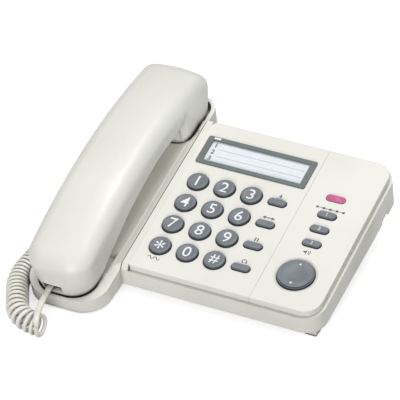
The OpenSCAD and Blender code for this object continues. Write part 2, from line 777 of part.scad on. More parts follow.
// Half of the handset's outline at one height, from the middle of its mouth end round to the middle of its ear end.
// Each entry is [x, y, how much the wall there faces an end]
function half_plan(z, inset) =
  let (
    h = min(max(z, -cup_drop), lean_top),
    hm = mouth_half_w - mouth_taper * (lean_top - h) - inset,
    he = ear_half_w - inset,
    y0 = -(mouth_end + front_lean * (h + 4)) + inset,
    y1 = ear_end + back_lean * (h + 4) - inset,
    r0 = mouth_corner - inset,
    r1 = ear_corner - inset,
    bulge = ear_bulge * (h + cup_drop) / (lean_top + cup_drop)
  ) concat(
    [[0, y0, 1], [(hm - r0) * 0.6, y0, 1]],
    [for (a = [-90:15:0]) [hm - r0 + r0 * cos(a), y0 + r0 + r0 * sin(a), pow(sin(a), 2)]],
    [for (e = side_edge) [hm + (he - hm) * min(max((e[0] + 66) / 140, 0), 1) - (e[0] > 20 ? corner_in(e[0], z) : 0),
                          e[0], 0]],
    [[he, reach(80), 0]],
    [for (a = [0:15:90]) let (x = he - r1 + r1 * cos(a))
      [x, y1 - r1 + r1 * sin(a) + bulge * (1 - pow(x / he, 2)), pow(sin(a), 2)]],
    [let (x = (he - r1) * 0.5) [x, y1 + bulge * (1 - pow(x / he, 2)), 1], [0, y1 + bulge, 1]]
  );
half_count = len(half_plan(0, 0));
ring_count = 2 * half_count - 2;
function side_station(i) = i > 8 && i < 9 + len(side_edge);

// One point of the skin: i counts round the outline, t goes from 0 at the lower edge, through 1 where the roll
// starts and 2 where it ends, to 3 near the middle of the back
function roll_r(i, facing, inset) =
  let (end = i < half_count / 2 ? mouth_roll : ear_roll) side_roll + (end - side_roll) * facing - inset;

function skin_point(i, t, inset) =
  let (
    edge = half_plan(0, inset)[i],
    r = roll_r(i, edge[2], inset),
    low = side_station(i) ? edge_z(edge[1]) : -cup_drop,
    wall_top = back_z(edge[0], edge[1], ear_half_w) - inset - r,
    h = t < 1 ? low + (wall_top - low) * t : wall_top,
    p = half_plan(h, inset)[i],
    c = [0, min(max(p[1], spine[0]), spine[1])],
    reach = norm([p[0], p[1]] - c),
    a = 90 * (min(max(t, 1), 2) - 1),
    d = t < 2 ? r * (1 - cos(a)) : r + (reach * 0.82 - r) * (t - 2),
    q = [p[0], p[1]] + (c - [p[0], p[1]]) * min(d / reach, 1)
  ) [q[0], q[1], t <= 1 ? h : back_z(q[0], q[1], ear_half_w) - inset - r * (1 - sin(a))];

function skin_ring(t, inset) =
  let (half = [for (i = [0:half_count - 1]) skin_point(i, t, inset)])
    concat(half, [for (i = [half_count - 2:-1:1]) [-half[i][0], half[i][1], half[i][2]]]);

function bridge(first, flip) = [
  for (i = [1:half_count - 3])
    let (a = first + i, b = first + i + 1, c = first + ring_count - i - 1, d = first + ring_count - i)
      each flip ? [[a, c, b], [a, d, c]] : [[a, b, c], [a, c, d]],
  flip ? [first, first + ring_count - 1, first + 1] : [first, first + 1, first + ring_count - 1],
  let (m = first + half_count - 1) flip ? [m, m - 1, m + 1] : [m, m + 1, m - 1],
];

module handset_skin() {
  rings = concat([for (t = [3, 2, 1.5, 1, 0]) skin_ring(t, handset_wall)],
                 [for (t = [0, 0.5, 1, 1.33, 1.66, 2, 2.25, 2.5, 2.75, 3]) skin_ring(t, 0)]);
  n = len(rings);
  polyhedron(points = [for (r = rings) each r],
             faces = concat(side_faces(n, ring_count), bridge(0, false), bridge((n - 1) * ring_count, true)),
             convexity = 10);
}

notch_x = [-10, 3.5];                     // the cord's notch in the mouth end, from the handset's middle
notch_z = [-1.4, 5];
plug_x = handset_x - 5;
socket_inset = 2.8;                      // how far the handset's socket stands back inside the wall's middle
socket_front = -(mouth_end - handset_wall - socket_inset);
handset_screw_at = [reach(-16), reach(40)];
handset_boss_r = 3.2;
cover_t = 2;
function boss_foot(y) = max(edge_z(y - handset_boss_r), edge_z(y), edge_z(y + handset_boss_r)) + cover_t + rest_gap;

module handset_back() {
  on_slope() color(cream) union() {
    difference() {
      translate([handset_x, 0, 0]) handset_skin();
      block(handset_x + notch_x[0], handset_x + notch_x[1], -mouth_end - 8, -mouth_end + 8, notch_z[0], notch_z[1]);
    }
    for (y = handset_screw_at) difference() {
      post(handset_x, y, boss_foot(y), back_z(0, y, 1) - handset_wall + 0.6, handset_boss_r);
      post(handset_x, y, 0, edge_z(y) + cover_t + 8, 1.1 + screw_gap);
    }
  }
}

// The inner cover follows the lower edge of the shell and fits inside it
cover_gap = handset_wall + seam_gap;
cover_inside = [for (p = [
  [-63.4, -6], [-60, 1], [-53.4, 7.6], [-47, 11.4], [-39.8, 14.5], [-31.6, 17.1], [-22.4, 19.2], [-10, 20.8],
  [4, 22.2], [18, 23], [32, 22.2], [44.2, 20.4], [51.4, 19.2], [57, 17.8], [61.6, 15.4], [64.5, 11], [65.8, 5],
  [66.2, -6],
]) [reach(p[0]), p[1]]];
receiver_y = reach(83);
mic_at = [7.5, reach(-70)];

module handset_front() {
  on_slope() color(cream) difference() {
    intersection() {
      slab(-cup_drop, 30) translate([handset_x, 0]) polygon([for (p = skin_ring(0, cover_gap)) [p[0], p[1]]]);
      across(handset_x - 40, handset_x + 40) polygon(concat(
        [[-120, -cup_drop]], side_edge, [[120, -cup_drop], [120, cover_t - cup_drop]],
        [for (i = [len(cover_inside) - 1:-1:0]) cover_inside[i]], [[-120, cover_t - cup_drop]]
      ));
    }
    // holes over the two capsules, and for the screws
    for (k = [0:5]) post(handset_x + 7 * cos(60 * k), receiver_y + 7 * sin(60 * k), -20, 8, 1);
    post(handset_x, receiver_y, -20, 8, 1);
    for (i = [-1:1]) post(handset_x + mic_at[0] + 2.6 * i, mic_at[1], -20, 8, 0.7);
    for (y = handset_screw_at) {
      post(handset_x, y, 0, 40, 1.1 + screw_gap);
      post(handset_x, y, 0, edge_z(y) + 0.9, 2.4 + screw_gap);
    }
  }
}

module receiver_gasket() {
  on_slope() color(black) difference() {
    post(handset_x, receiver_y, cover_t - cup_drop + rest_gap, cover_t - cup_drop + 1, 15);
    post(handset_x, receiver_y, -20, 20, 12);
  }
}

module receiver_capsule() {
  base = cover_t - cup_drop + 1 + rest_gap;
  on_slope() color([0.3, 0.3, 0.32]) translate([handset_x, receiver_y, base]) rotate_extrude() polygon([
    [0, 1], [11.5, 0], [15, 0], [15, 3], [10, 6], [10, 9.5], [0, 9.5],
  ]);
}

module microphone_capsule() {
  on_slope() color([0.3, 0.3, 0.32]) post(handset_x + mic_at[0], mic_at[1], cover_t - cup_drop + rest_gap,
                                            cover_t - cup_drop + 4, 4.2);
}

module handset_weight() {
  on_slope() color(metal) block(handset_x - 9, handset_x + 9, 2, 30, 23.4, 30);
}

module handset_screws() {
  on_slope() color(metal) for (y = handset_screw_at) {
    seat = edge_z(y) + 0.9 - rest_gap;
    post(handset_x, y, seat - 0.7, seat, 2.4);
    post(handset_x, y, seat - 0.4, seat + 8, 1.1);
  }
}

module handset_socket() {
  on_slope() color(frame_grey) translate([plug_x, socket_front, 1.4]) rotate([0, 0, -90])
    socket(10.6, 9, 14.5, plug_w + 2 * seam_gap, plug_h + 2 * seam_gap, plug_l + 0.6);
}

module handset_plug() {
  on_slope() color([0.85, 0.85, 0.83]) translate([plug_x, socket_front - 0.4, 2]) rotate([0, 0, -90]) modular_plug();
}

// ---------------------------------------------------------------------------------------------------------------
// The curly cord, laid on the table along the cradle, and the flat leads at its two ends
// ---------------------------------------------------------------------------------------------------------------
axis_z = curl_r + wire_d / 2 + 0.1;
curl_start = [-61.5, -110.5];          // the open end of the curls, near the handset's plug
// The line the curls follow from there: length, heading at its start, radius (0 is straight, right-hand turns)
lay = [[8, 172, 0], [20.7, 172, 22], [17.6, 118, 0], [24.4, 118, 50], [130, 90, 0]];

function step_end(p, m, s) = m[2] == 0
  ? p + [cos(m[1]), sin(m[1])] * s
  : p + m[2] * ([sin(m[1]), -cos(m[1])] - [sin(m[1] - s / m[2] * 180 / PI), -cos(m[1] - s / m[2] * 180 / PI)]);
function step_heading(m, s) = m[2] == 0 ? m[1] : m[1] - s / m[2] * 180 / PI;
function on_lay(s, k = 0, p = curl_start) = s <= lay[k][0] || k == len(lay) - 1
  ? concat(step_end(p, lay[k], s), step_heading(lay[k], s))
  : on_lay(s - lay[k][0], k + 1, step_end(p, lay[k], lay[k][0]));

// Curls are wider apart where the cord bends
bend_pitch = 4.5;
ease_pitch = 3.75;
run_pitch = 3.25;
bend_turns = 8;
ease_turns = 12;
run_turns = 31.5;
turns = bend_turns + ease_turns + run_turns;
curl_steps = 8;
function along_lay(k) = bend_pitch * min(k, bend_turns) + ease_pitch * min(max(k - bend_turns, 0), ease_turns)
  + run_pitch * max(k - bend_turns - ease_turns, 0);

function curl_out(i) =
  let (h = on_lay(along_lay(i / curl_steps))[2], a = -360 * i / curl_steps)
    [-sin(h) * cos(a), cos(h) * cos(a), sin(a)];
function curl_point(i) =
  let (c = on_lay(along_lay(i / curl_steps))) [c[0] - mid_x, c[1] - mid_y, axis_z] + curl_r * curl_out(i);

curl_last = turns * curl_steps;
curl_line = [for (i = [0:curl_last]) curl_point(i)];
curl_rise = wire_d + 0.6;
cord_start = curl_line[0] + [0, 0, curl_rise];
cord_end = curl_line[curl_last] + [0, 0, curl_rise];

module curly_cord() {
  up = [0, 0, 1];
  d = [wire_d, wire_d];
  color(cord_cream) skin(concat(
    [tube_ring(cord_start, -up, curl_out(0), d, 6), tube_ring(curl_line[0] + [0, 0, 0.7], -up, curl_out(0), d, 6)],
    [for (i = [1:curl_last - 1])
      tube_ring(curl_line[i], unit(curl_line[i + 1] - curl_line[i - 1]), curl_out(i), d, 6)],
    [tube_ring(curl_line[curl_last] + [0, 0, 0.7], up, curl_out(curl_last), d, 6),
     tube_ring(cord_end, up, curl_out(curl_last), d, 6)]
  ));
}

// Least gap between one curl and the next, measured on the line of the wire
curl_gaps = [for (i = [1:curl_last - curl_steps - 1], j = [curl_steps - 2:curl_steps + 1])
  norm(curl_line[i] - curl_line[i + j]) - wire_d];
echo(least_curl_gap = min(curl_gaps), curls = turns);
curl_wire = [for (i = [1:curl_last]) norm(curl_line[i] - curl_line[i - 1])];
function total(v, i = 0, sum = 0) = i == len(v) ? sum : total(v, i + 1, sum + v[i]);
echo(wire_length = total(curl_wire));

// A lead's line is a smooth curve between two ends that each set off straight
lead_steps = 14;
function lead_point(a, b, t) = a[0] * pow(1 - t, 3) + a[1] * 3 * t * pow(1 - t, 2)
  + b[1] * 3 * t * t * (1 - t) + b[0] * pow(t, 3);

module lead(a, b, side) {
  line = concat([a[0], a[0] + unit(a[1] - a[0]) * lead_t],
                [for (i = [1:lead_steps - 1]) lead_point([a[0] + unit(a[1] - a[0]) * lead_t, a[1]],
                                                         [b[0] + unit(b[1] - b[0]) * lead_t, b[1]], i / lead_steps)],
                [b[0] + unit(b[1] - b[0]) * lead_t, b[0]]);
  last = len(line) - 1;
  color(cord_cream) skin([for (i = [0:last])
    tube_ring(line[i], unit(line[min(i + 1, last)] - line[max(i - 1, 0)]), side, [lead_w, lead_t], 8)]);
}

handset_exit = on_row([plug_x, socket_front - 0.4 - rest_gap, 2]);
handset_way = on_row([plug_x, socket_front - 23, 2]);
base_exit = on_row([cradle_left + 0.2 - base_plug_out - rest_gap, base_jack_y, base_jack_z + 0.6]);

module handset_lead() {
  start = cord_start + [0, 0, rest_gap];
  lead([handset_exit, handset_way], [start, start + [0, 0, 9]], [1, 0, 0]);
}

module base_lead() {
  start = cord_end + [0, 0, rest_gap];
  lead([start, start + [0, 0, 18]], [base_exit, base_exit - [15, 0, 0]], [0, 1, 0]);
}

// ---------------------------------------------------------------------------------------------------------------
// What is drawn
// ---------------------------------------------------------------------------------------------------------------
upper_case();
lower_case();
desk_stand();
rubber_feet();
case_screws();
keypad_panel();
side_panel();
card_frame();
memo_card();
card_cover();
key_1();
key_2();
key_3();
key_4();
key_5();
key_6();
key_7();
key_8();
key_9();
key_star();
key_0();
key_hash();
function_key_1();
function_key_2();
function_key_3();
function_key_4();
one_touch_key_1();
one_touch_key_2();
one_touch_key_3();
volume_key();
lamp_lens();
lamp_led();
key_mat();
side_key_mat();
main_board();
board_parts();
board_screws();
ringer_speaker();
line_jack();
base_jack();
hook_plunger();
hook_spring();
hook_switch();
handset_back();
handset_front();
receiver_capsule();
receiver_gasket();
microphone_capsule();
handset_weight();
handset_socket();
handset_screws();
handset_plug();
handset_lead();
curly_cord();
base_lead();
base_plug();
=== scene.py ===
import math

import bmesh
import bpy
from mathutils import Matrix, Vector
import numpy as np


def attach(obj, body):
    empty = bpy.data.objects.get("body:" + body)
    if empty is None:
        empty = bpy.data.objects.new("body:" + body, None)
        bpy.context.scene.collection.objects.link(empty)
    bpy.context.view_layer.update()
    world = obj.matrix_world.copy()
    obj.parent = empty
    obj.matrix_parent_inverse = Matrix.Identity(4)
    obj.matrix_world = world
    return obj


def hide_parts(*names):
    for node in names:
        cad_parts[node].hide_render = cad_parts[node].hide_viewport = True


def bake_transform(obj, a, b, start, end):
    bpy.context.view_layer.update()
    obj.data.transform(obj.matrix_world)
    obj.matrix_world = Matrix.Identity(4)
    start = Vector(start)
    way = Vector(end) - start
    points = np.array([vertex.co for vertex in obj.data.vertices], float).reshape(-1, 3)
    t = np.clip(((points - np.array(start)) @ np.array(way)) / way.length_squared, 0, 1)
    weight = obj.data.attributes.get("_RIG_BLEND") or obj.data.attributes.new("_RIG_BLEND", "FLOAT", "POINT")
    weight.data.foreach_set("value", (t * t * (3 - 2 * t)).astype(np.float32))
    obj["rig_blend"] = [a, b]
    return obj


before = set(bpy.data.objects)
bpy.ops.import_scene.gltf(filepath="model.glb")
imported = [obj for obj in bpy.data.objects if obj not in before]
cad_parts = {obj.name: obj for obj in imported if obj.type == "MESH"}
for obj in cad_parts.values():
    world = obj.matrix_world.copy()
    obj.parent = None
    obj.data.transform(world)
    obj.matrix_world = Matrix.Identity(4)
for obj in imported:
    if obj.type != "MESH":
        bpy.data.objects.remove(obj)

scene = bpy.context.scene
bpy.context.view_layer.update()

# ----------------------------------------------------------------------------------------------------------------
# Camera and stage
# A long lens looks down on the telephone from the front right. It stands on a plain pale floor, which stays white
# to the eye but sends little light back up under the case.
# ----------------------------------------------------------------------------------------------------------------
scene.view_settings.view_transform = "Standard"

camera_at = Vector((0.592322, -1.301888, 1.018749))
camera_right = Vector((0.90672584, 0.42172059, 0))
camera_back = Vector((0.34875691, -0.74984931, 0.56222294))
camera_up = camera_back.cross(camera_right)

lens = bpy.data.cameras.new("long lens")
lens.sensor_width = 36
lens.lens = 242.7
lens.clip_end = 20
camera = bpy.data.objects.new("camera", lens)
camera_turn = Matrix((camera_right, camera_up, camera_back)).transposed()
camera.matrix_world = Matrix.Translation(camera_at) @ camera_turn.to_4x4()
scene.collection.objects.link(camera)
scene.camera = camera


def linear(red, green, blue, alpha=1.0):
    """A screen colour, 0 to 255, as the linear colour that a shader takes."""
    def one(value):
        value /= 255
        return value / 12.92 if value <= 0.04045 else ((value + 0.055) / 1.055) ** 2.4
    return (one(red), one(green), one(blue), alpha)


def shader(name):
    """A new node material: its node tree and its output."""
    material = bpy.data.materials.new(name)
    material.use_nodes = True
    tree = material.node_tree
    tree.nodes.clear()
    return material, tree, tree.nodes.new("ShaderNodeOutputMaterial")


def wire(tree, source, target):
    tree.links.new(source, target)


# Seen by the camera or in a reflection the floor is white, with a faint shadow; to all other light it is a dark grey
floor_paint, tree, output = shader("studio floor")
seen = tree.nodes.new("ShaderNodeBsdfDiffuse")
seen.inputs["Color"].default_value = (0.98, 0.98, 0.975, 1)
unseen = tree.nodes.new("ShaderNodeBsdfDiffuse")
unseen.inputs["Color"].default_value = (0.26, 0.26, 0.255, 1)
path = tree.nodes.new("ShaderNodeLightPath")
mirror = tree.nodes.new("ShaderNodeMath")
mirror.operation = "MAXIMUM"
wire(tree, path.outputs["Is Glossy Ray"], mirror.inputs[0])
wire(tree, path.outputs["Is Transmission Ray"], mirror.inputs[1])
eye = tree.nodes.new("ShaderNodeMath")
eye.operation = "MAXIMUM"
wire(tree, path.outputs["Is Camera Ray"], eye.inputs[0])
wire(tree, mirror.outputs[0], eye.inputs[1])
choice = tree.nodes.new("ShaderNodeMixShader")
wire(tree, eye.outputs[0], choice.inputs[0])
wire(tree, unseen.outputs[0], choice.inputs[1])
lift = tree.nodes.new("ShaderNodeEmission")
lift.inputs["Strength"].default_value = 0.66
bright = tree.nodes.new("ShaderNodeAddShader")
wire(tree, seen.outputs[0], bright.inputs[0])
wire(tree, lift.outputs[0], bright.inputs[1])
wire(tree, bright.outputs[0], choice.inputs[2])
wire(tree, choice.outputs[0], output.inputs["Surface"])

bm = bmesh.new()
bmesh.ops.create_grid(bm, x_segments=1, y_segments=1, size=6)
floor_mesh = bpy.data.meshes.new("floor")
bm.to_mesh(floor_mesh)
bm.free()
floor = bpy.data.objects.new("floor", floor_mesh)
floor.location.z = -0.0002
floor_mesh.materials.append(floor_paint)
scene.collection.objects.link(floor)

# Soft light from all round, a broad lamp overhead and another in front
world = bpy.data.worlds.new("studio")
world.use_nodes = True
world.node_tree.nodes["Background"].inputs["Color"].default_value = (1, 1, 1, 1)
world.node_tree.nodes["Background"].inputs["Strength"].default_value = 0.3
scene.world = world


def lamp(name, place, size, watts):
    """A square soft lamp at that place, aimed at the telephone."""
    light = bpy.data.lights.new(name, "AREA")
    light.shape = "SQUARE"
    light.size = size
    light.energy = watts
    holder = bpy.data.objects.new(name, light)
    place = Vector(place)
    holder.matrix_world = Matrix.Translation(place) @ place.to_track_quat("Z", "Y").to_matrix().to_4x4()
    scene.collection.objects.link(holder)


lamp("overhead", (0.1, 0.5, 2.0), 0.9, 23)
lamp("front fill", (0.4, -2.2, 0.6), 1.0, 29)

# ----------------------------------------------------------------------------------------------------------------
# Curly cord and its two flat leads
# One four-core cord with a soft vinyl jacket. Its middle is wound into a long coil that lies on the table along
# the left of the cradle; a flat lead at each end runs to a modular plug.
# ----------------------------------------------------------------------------------------------------------------
MM = 0.001
panel_slope = math.radians(14)
dial_middle = (-3.5, -11.4878, 36)
# The panels' own frame: x to the right, y up the panel, z out of it, from the middle of the dial
slope = Matrix.Translation(Vector(dial_middle) * MM) @ Matrix.Rotation(panel_slope, 4, "X")


def on_slope(x, y, z):
    """A point of the sloping frame, in millimetres, as a point of the model."""
    return slope @ (Vector((x, y, z)) * MM)


wire_d = 2.8 * MM
curl_r = 6.2 * MM
coil_height = curl_r + wire_d / 2 + 0.1 * MM
coil_from = (-61.5, -110.5)
# Length, heading and right-turn radius of each stretch that the coil lies along, from there
coil_route = ((8, 172, 0), (20.7, 172, 22), (17.6, 118, 0), (24.4, 118, 50), (130, 90, 0))
# Pitch and number of curls of each part of the coil
coil_winding = ((4.5, 8), (3.75, 12), (3.25, 31.5))


def along_route(length):
    """The coil's middle and heading at that length along its route, in millimetres and radians."""
    at = Vector(coil_from)
    for number, (stretch, heading, radius) in enumerate(coil_route):
        part = length if number == len(coil_route) - 1 else min(length, stretch)
        start = math.radians(heading)
        turned = start - part / radius if radius else start
        if radius:
            at += radius * (Vector((math.sin(start), -math.cos(start)))
                            - Vector((math.sin(turned), -math.cos(turned))))
        else:
            at += part * Vector((math.cos(start), math.sin(start)))
        length -= part
        if length <= 0:
            break
    return at, turned


def wound(curls):
    """The length of route used up by that many curls."""
    length = 0
    for pitch, number in coil_winding:
        length += pitch * min(max(curls, 0), number)
        curls -= number
    return length


def curl_point(curls):
    """The middle of the wire after that many curls."""
    at, heading = along_route(wound(curls))
    turn = -2 * math.pi * curls
    out = Vector((-math.sin(heading) * math.cos(turn), math.cos(heading) * math.cos(turn), math.sin(turn)))
    middle = Vector((at.x + dial_middle[0], at.y + dial_middle[1], 0)) * MM
    return middle + Vector((0, 0, coil_height)) + curl_r * out


curls = sum(number for pitch, number in coil_winding)
points_per_curl = 24
coil_points = [curl_point(step / points_per_curl) for step in range(int(curls * points_per_curl) + 1)]
# Both ends of the wire rise straight up out of their curl
coil_rise = Vector((0, 0, wire_d + 0.6 * MM))
coil_start = coil_points[0] + coil_rise
coil_end = coil_points[-1] + coil_rise
coil_line = ([coil_start, coil_points[0] + coil_rise * 0.6, coil_points[0] + coil_rise * 0.28]
             + coil_points[1:-1]
             + [coil_points[-1] + coil_rise * 0.28, coil_points[-1] + coil_rise * 0.6, coil_end])


coil = bpy.data.curves.new("curly_cord_jacket", "CURVE")
coil.dimensions = "3D"
coil.bevel_depth = wire_d / 2
coil.bevel_resolution = 4
coil.use_fill_caps = True
spline = coil.splines.new("POLY")
spline.points.add(len(coil_line) - 1)
for point, place in zip(spline.points, coil_line):
    point.co = (*place, 1)
spline.use_smooth = True
curly_cord = bpy.data.objects.new("curly_cord_jacket", coil)
scene.collection.objects.link(curly_cord)

# The fine grain and mottle that a moulded or extruded surface has, and painted shade that darkens narrow gaps, for
# every plastic and rubber on the telephone
moulded = bpy.data.node_groups.new("moulded surface", "ShaderNodeTree")
plain_grey = (0.8, 0.8, 0.8, 1)
for socket, kind, start in (("Colour", "NodeSocketColor", plain_grey), ("Second colour", "NodeSocketColor", plain_grey),
                            ("Roughness", "NodeSocketFloat", 0.4), ("Mottle scale", "NodeSocketFloat", 40),
                            ("Grain scale", "NodeSocketFloat", 1800), ("Crevice shade", "NodeSocketFloat", 0.02)):
    moulded.interface.new_socket(socket, in_out="INPUT", socket_type=kind).default_value = start
moulded.interface.new_socket("Colour", in_out="OUTPUT", socket_type="NodeSocketColor")
moulded.interface.new_socket("Roughness", in_out="OUTPUT", socket_type="NodeSocketFloat")
moulded.interface.new_socket("Height", in_out="OUTPUT", socket_type="NodeSocketFloat")
asked = moulded.nodes.new("NodeGroupInput")
given = moulded.nodes.new("NodeGroupOutput")
place = moulded.nodes.new("ShaderNodeTexCoord")
mottle = moulded.nodes.new("ShaderNodeTexNoise")
mottle.inputs["Detail"].default_value = 3
wire(moulded, place.outputs["Object"], mottle.inputs["Vector"])
wire(moulded, asked.outputs["Mottle scale"], mottle.inputs["Scale"])
patches = moulded.nodes.new("ShaderNodeMapRange")
patches.inputs["From Min"].default_value = 0.35
patches.inputs["From Max"].default_value = 0.68
wire(moulded, mottle.outputs["Fac"], patches.inputs["Value"])
tint = moulded.nodes.new("ShaderNodeMix")
tint.data_type = "RGBA"
wire(moulded, patches.outputs["Result"], tint.inputs["Factor"])
wire(moulded, asked.outputs["Colour"], tint.inputs[6])
wire(moulded, asked.outputs["Second colour"], tint.inputs[7])
# Painted shade: where the surface lies in a narrow gap, its colour is darkened towards the crevice shade
gaps = moulded.nodes.new("ShaderNodeAmbientOcclusion")
gaps.samples = 6
gaps.inputs["Distance"].default_value = 0.006
crevice = moulded.nodes.new("ShaderNodeMapRange")
crevice.inputs["From Min"].default_value = 0.34
crevice.inputs["From Max"].default_value = 0.68
wire(moulded, asked.outputs["Crevice shade"], crevice.inputs["To Min"])
wire(moulded, gaps.outputs["AO"], crevice.inputs["Value"])
painted_gap_shade = moulded.nodes.new("ShaderNodeVectorMath")
painted_gap_shade.operation = "SCALE"
wire(moulded, tint.outputs[2], painted_gap_shade.inputs[0])
wire(moulded, crevice.outputs["Result"], painted_gap_shade.inputs["Scale"])
wire(moulded, painted_gap_shade.outputs["Vector"], given.inputs["Colour"])
grain = moulded.nodes.new("ShaderNodeTexNoise")
grain.inputs["Detail"].default_value = 2
wire(moulded, place.outputs["Object"], grain.inputs["Vector"])
wire(moulded, asked.outputs["Grain scale"], grain.inputs["Scale"])
wire(moulded, grain.outputs["Fac"], given.inputs["Height"])
gloss = moulded.nodes.new("ShaderNodeMath")
gloss.operation = "MULTIPLY_ADD"
gloss.inputs[1].default_value = 0.12
wire(moulded, patches.outputs["Result"], gloss.inputs[0])
wire(moulded, asked.outputs["Roughness"], gloss.inputs[2])
wire(moulded, gloss.outputs[0], given.inputs["Roughness"])


def moulding(name, colour, second, roughness, grain_depth, mottle_scale=40, grain_scale=1800, crevices=0.02, **plain):
    """A moulded plastic or rubber: two close colours in soft patches, and a fine grain that deep in metres.

    crevices is how much of the colour is left where painted shade darkens narrow gaps, and 1 leaves it all.
    """
    material, tree, output = shader(name)
    surface = tree.nodes.new("ShaderNodeBsdfPrincipled")
    effect = tree.nodes.new("ShaderNodeGroup")
    effect.node_tree = moulded
    effect.inputs["Colour"].default_value = colour
    effect.inputs["Second colour"].default_value = second
    effect.inputs["Roughness"].default_value = roughness
    effect.inputs["Mottle scale"].default_value = mottle_scale
    effect.inputs["Grain scale"].default_value = grain_scale
    effect.inputs["Crevice shade"].default_value = crevices
    bump = tree.nodes.new("ShaderNodeBump")
    bump.inputs["Distance"].default_value = grain_depth
    wire(tree, effect.outputs["Colour"], surface.inputs["Base Color"])
    wire(tree, effect.outputs["Roughness"], surface.inputs["Roughness"])
    wire(tree, effect.outputs["Height"], bump.inputs["Height"])
    wire(tree, bump.outputs["Normal"], surface.inputs["Normal"])
    for socket, value in plain.items():
        surface.inputs[socket.replace("_", " ")].default_value = value
    wire(tree, surface.outputs[0], output.inputs["Surface"])
    return material


cord_vinyl = moulding("cord vinyl", linear(240, 239, 231), linear(233, 231, 222), 0.38, 0.00003, 60, 900,
                      crevices=0.35)
coil.materials.append(cord_vinyl)
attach(curly_cord, "base")
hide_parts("curly_cord")

lead_w = 4 * MM
lead_t = 2.4 * MM
lead_taper = 7 * MM


def lead_line(start, start_way, end, end_way, steps=30):
    """A smooth line that leaves both ends straight, towards the two ways, for a lead's thickness."""
    first = start + (start_way - start).normalized() * lead_t
    last = end + (end_way - end).normalized() * lead_t
    line = [start]
    for step in range(steps + 1):
        t = step / steps
        line.append(first * (1 - t) ** 3 + start_way * 3 * t * (1 - t) ** 2 + end_way * 3 * t * t * (1 - t)
                    + last * t ** 3)
    return line + [end]


def flat_lead(name, line, side, round_end):
    """A flat cord swept along the line, its width along side. It turns into the round wire at that end, 0 or -1."""
    bm = bmesh.new()
    rim = bmesh.ops.create_circle(bm, cap_ends=False, segments=20, radius=1)["verts"]
    edges = list(bm.edges)
    rings = [rim]
    for _ in line[1:]:
        grown = bmesh.ops.extrude_edge_only(bm, edges=edges)["geom"]
        edges = [part for part in grown if isinstance(part, bmesh.types.BMEdge)
                 and all(v in grown for v in part.verts)]
        rings.append([part for part in grown if isinstance(part, bmesh.types.BMVert)])
    for number, (ring, place) in enumerate(zip(rings, line)):
        along = (line[min(number + 1, len(line) - 1)] - line[max(number - 1, 0)]).normalized()
        across = (side - along * side.dot(along)).normalized()
        thick = along.cross(across)
        flat = min((place - line[round_end]).length / lead_taper, 1) ** 0.5
        for vertex in ring:
            x, y = vertex.co.x, vertex.co.y
            # a flat cord's section: rounded sides, near flat faces
            width = x * (wire_d + (lead_w - wire_d) * flat)
            depth = math.copysign(abs(y) ** (1 - 0.4 * flat), y) * (wire_d + (lead_t - wire_d) * flat)
            vertex.co = place + across * width / 2 + thick * depth / 2
    for ring in (rings[0], rings[-1]):
        bmesh.ops.contextual_create(bm, geom=ring)
    bmesh.ops.recalc_face_normals(bm, faces=bm.faces)
    mesh = bpy.data.meshes.new(name)
    bm.to_mesh(mesh)
    bm.free()
    mesh.shade_smooth()
    mesh.materials.append(cord_vinyl)
    lead = bpy.data.objects.new(name, mesh)
    scene.collection.objects.link(lead)
    return lead


up = Vector((0, 0, 1))
plug_x = -70
handset_exit = on_slope(plug_x, -79.25, 2)
handset_way = on_slope(plug_x, -101.8, 2)
handset_line = lead_line(handset_exit, handset_way, coil_start, coil_start + up * 9 * MM)
handset_lead = flat_lead("handset_lead_jacket", handset_line, Vector((1, 0, 0)), -1)
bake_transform(handset_lead, "base", "handset", start=coil_start, end=handset_exit)
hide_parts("handset_lead")

base_exit = on_slope(-93.05, 63, -16)
base_line = lead_line(coil_end, coil_end + up * 18 * MM, base_exit, base_exit - Vector((15 * MM, 0, 0)))
base_lead = flat_lead("base_lead_jacket", base_line, Vector((0, 1, 0)), 0)
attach(base_lead, "base")
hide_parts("base_lead")

# ----------------------------------------------------------------------------------------------------------------
# Lower case, feet and desk stand
# The underside is one shallow moulding of pale plastic with sound slots under the ringer. A moulded wedge that clips
# on behind raises its back, and small rubber feet carry the whole.
# ----------------------------------------------------------------------------------------------------------------
case_plastic = moulding("case plastic", linear(236, 236, 228), linear(229, 228, 219), 0.36, 0.000012, 22, 1500,
                        crevices=0.25)


def paint_node(node, material):
    """Gives a part that keeps its own mesh its finish."""
    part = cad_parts[node]
    if not part.material_slots:
        part.data.materials.append(material)
    for slot in part.material_slots:
        slot.link = "OBJECT"
        slot.material = material


def merged_copy(node):
    """A part's mesh with its loose triangles joined at their corners."""
    bm = bmesh.new()
    bm.from_mesh(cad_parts[node].data)
    bmesh.ops.remove_doubles(bm, verts=bm.verts, dist=0.000002)
    return bm


def piece_from(bm, name, material, node, body):
    """Ends a piece's mesh, and lets the piece stand for that node on its body."""
    mesh = bpy.data.meshes.new(name)
    bm.to_mesh(mesh)
    bm.free()
    for layer in [a.name for a in mesh.attributes if a.name == "custom_normal"]:
        mesh.attributes.remove(mesh.attributes[layer])
    mesh.materials.clear()
    mesh.materials.append(material)
    mesh.shade_smooth()
    piece = bpy.data.objects.new(name, mesh)
    scene.collection.objects.link(piece)
    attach(piece, body)
    if node:
        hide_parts(node)
    return piece


def flat_faced(node):
    """A part's mesh with each flat face made one."""
    bm = merged_copy(node)
    bmesh.ops.dissolve_limit(bm, angle_limit=math.radians(0.6), verts=bm.verts, edges=bm.edges)
    return bm


def moulded_part(node, name, material, rounding, body="base", steps=2, bm=None):
    """A part whose hard edges are rounded, as a mould leaves them."""
    piece = piece_from(bm or flat_faced(node), name, material, node, body)
    rounded = piece.modifiers.new("rounded edges", "BEVEL")
    rounded.width = rounding
    rounded.segments = steps
    rounded.limit_method = "ANGLE"
    rounded.angle_limit = math.radians(38)
    even = piece.modifiers.new("even shading", "WEIGHTED_NORMAL")
    even.keep_sharp = True
    return piece


